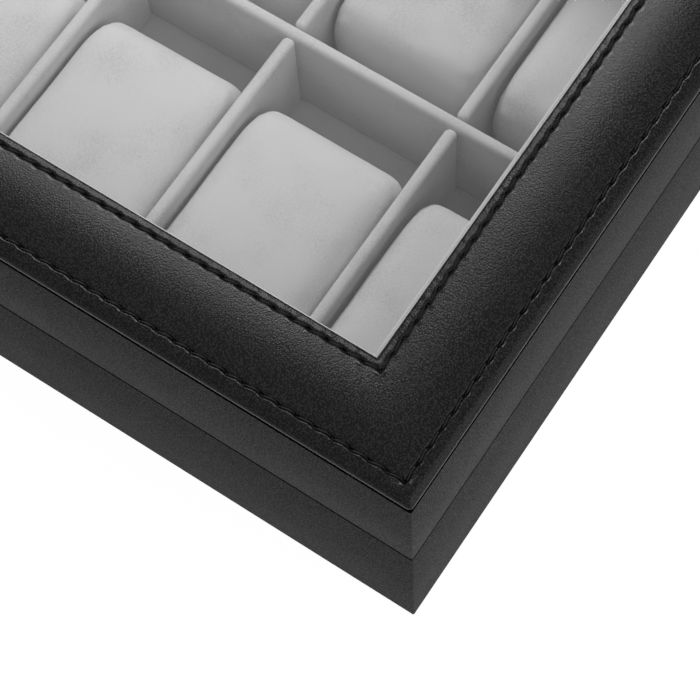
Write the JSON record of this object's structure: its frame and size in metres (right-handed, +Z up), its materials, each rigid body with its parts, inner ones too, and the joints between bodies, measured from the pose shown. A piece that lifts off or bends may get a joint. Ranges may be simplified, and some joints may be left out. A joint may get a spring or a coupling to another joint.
{
  "type": "watch box",
  "caption": "Rectangular watch box with a hinged glass-topped lid, padded leather frame, velvet slots and lift-out watch pillows.",
  "frame": {"origin": "middle of the bottom felt, on the surface that the box stands on", "axes": "+X along the length to the right, +Y to the back where the hinges are, +Z up"},
  "size_m": [0.3, 0.2129, 0.0803],
  "materials": {
    "top_leather": "satin, fine pebble grain",
    "side_leatherette": "matte, fine grain",
    "velvet": "short pile",
    "pillow_velvet": "short pile",
    "felt": "matte felt",
    "board": "raw fibreboard",
    "glass": "clear polished",
    "metal": "nickel plated"
  },
  "bodies": {
    "base": {"bottom_felt": "felt", "base_floor": "board", "base_front_board": "board", "base_back_board": "board", "base_left_board": "board", "base_right_board": "board", "base_wrap": "side_leatherette", "floor_lining": "velvet", "long_divider": "velvet", "short_divider_1": "velvet", "short_divider_2": "velvet", "short_divider_3": "velvet", "short_divider_4": "velvet", "short_divider_5": "velvet", "base_front_lining": "velvet", "base_back_lining": "velvet", "base_left_lining": "velvet", "base_right_lining": "velvet", "hinge_base_screws": "metal", "catch_screws": "metal", "base_catch": "metal", "hinge_base_leaf_left": "metal", "hinge_pin_left": "metal", "hinge_base_leaf_right": "metal", "hinge_pin_right": "metal"},
    "lid": {"lid_front_board": "board", "lid_back_board": "board", "lid_left_board": "board", "lid_right_board": "board", "top_front_rail": "board", "top_back_rail": "board", "top_left_rail": "board", "top_right_rail": "board", "lid_wrap": "side_leatherette", "top_pad": "top_leather", "lid_front_lining": "velvet", "lid_back_lining": "velvet", "lid_left_lining": "velvet", "lid_right_lining": "velvet", "hinge_lid_screws": "metal", "lid_clasp": "metal", "hinge_lid_leaf_left": "metal", "hinge_lid_leaf_right": "metal", "glass_pane": "glass", "window_lining": "velvet", "clasp_screws": "metal"},
    "pillow_1": {"watch_pillow_1": "pillow_velvet"},
    "pillow_2": {"watch_pillow_2": "pillow_velvet"},
    "pillow_3": {"watch_pillow_3": "pillow_velvet"},
    "pillow_4": {"watch_pillow_4": "pillow_velvet"},
    "pillow_5": {"watch_pillow_5": "pillow_velvet"},
    "pillow_6": {"watch_pillow_6": "pillow_velvet"},
    "pillow_7": {"watch_pillow_7": "pillow_velvet"},
    "pillow_8": {"watch_pillow_8": "pillow_velvet"},
    "pillow_9": {"watch_pillow_9": "pillow_velvet"},
    "pillow_10": {"watch_pillow_10": "pillow_velvet"},
    "pillow_11": {"watch_pillow_11": "pillow_velvet"},
    "pillow_12": {"watch_pillow_12": "pillow_velvet"}
  },
  "joints": [
    {"name": "lid_hinge", "type": "hinge", "parent": "base", "child": "lid", "pos_m": [0, 0.1045, 0.0432], "axis": [-1, 0, 0], "range_deg": [0, 100]},
    {"name": "pillow_1_lift", "type": "slide", "parent": "base", "child": "pillow_1", "axis": [0, 0, 1], "range_m": [0, 0.03]},
    {"name": "pillow_2_lift", "type": "slide", "parent": "base", "child": "pillow_2", "axis": [0, 0, 1], "range_m": [0, 0.03]},
    {"name": "pillow_3_lift", "type": "slide", "parent": "base", "child": "pillow_3", "axis": [0, 0, 1], "range_m": [0, 0.03]},
    {"name": "pillow_4_lift", "type": "slide", "parent": "base", "child": "pillow_4", "axis": [0, 0, 1], "range_m": [0, 0.03]},
    {"name": "pillow_5_lift", "type": "slide", "parent": "base", "child": "pillow_5", "axis": [0, 0, 1], "range_m": [0, 0.03]},
    {"name": "pillow_6_lift", "type": "slide", "parent": "base", "child": "pillow_6", "axis": [0, 0, 1], "range_m": [0, 0.03]},
    {"name": "pillow_7_lift", "type": "slide", "parent": "base", "child": "pillow_7", "axis": [0, 0, 1], "range_m": [0, 0.03]},
    {"name": "pillow_8_lift", "type": "slide", "parent": "base", "child": "pillow_8", "axis": [0, 0, 1], "range_m": [0, 0.03]},
    {"name": "pillow_9_lift", "type": "slide", "parent": "base", "child": "pillow_9", "axis": [0, 0, 1], "range_m": [0, 0.03]},
    {"name": "pillow_10_lift", "type": "slide", "parent": "base", "child": "pillow_10", "axis": [0, 0, 1], "range_m": [0, 0.03]},
    {"name": "pillow_11_lift", "type": "slide", "parent": "base", "child": "pillow_11", "axis": [0, 0, 1], "range_m": [0, 0.03]},
    {"name": "pillow_12_lift", "type": "slide", "parent": "base", "child": "pillow_12", "axis": [0, 0, 1], "range_m": [0, 0.03]}
  ]
}
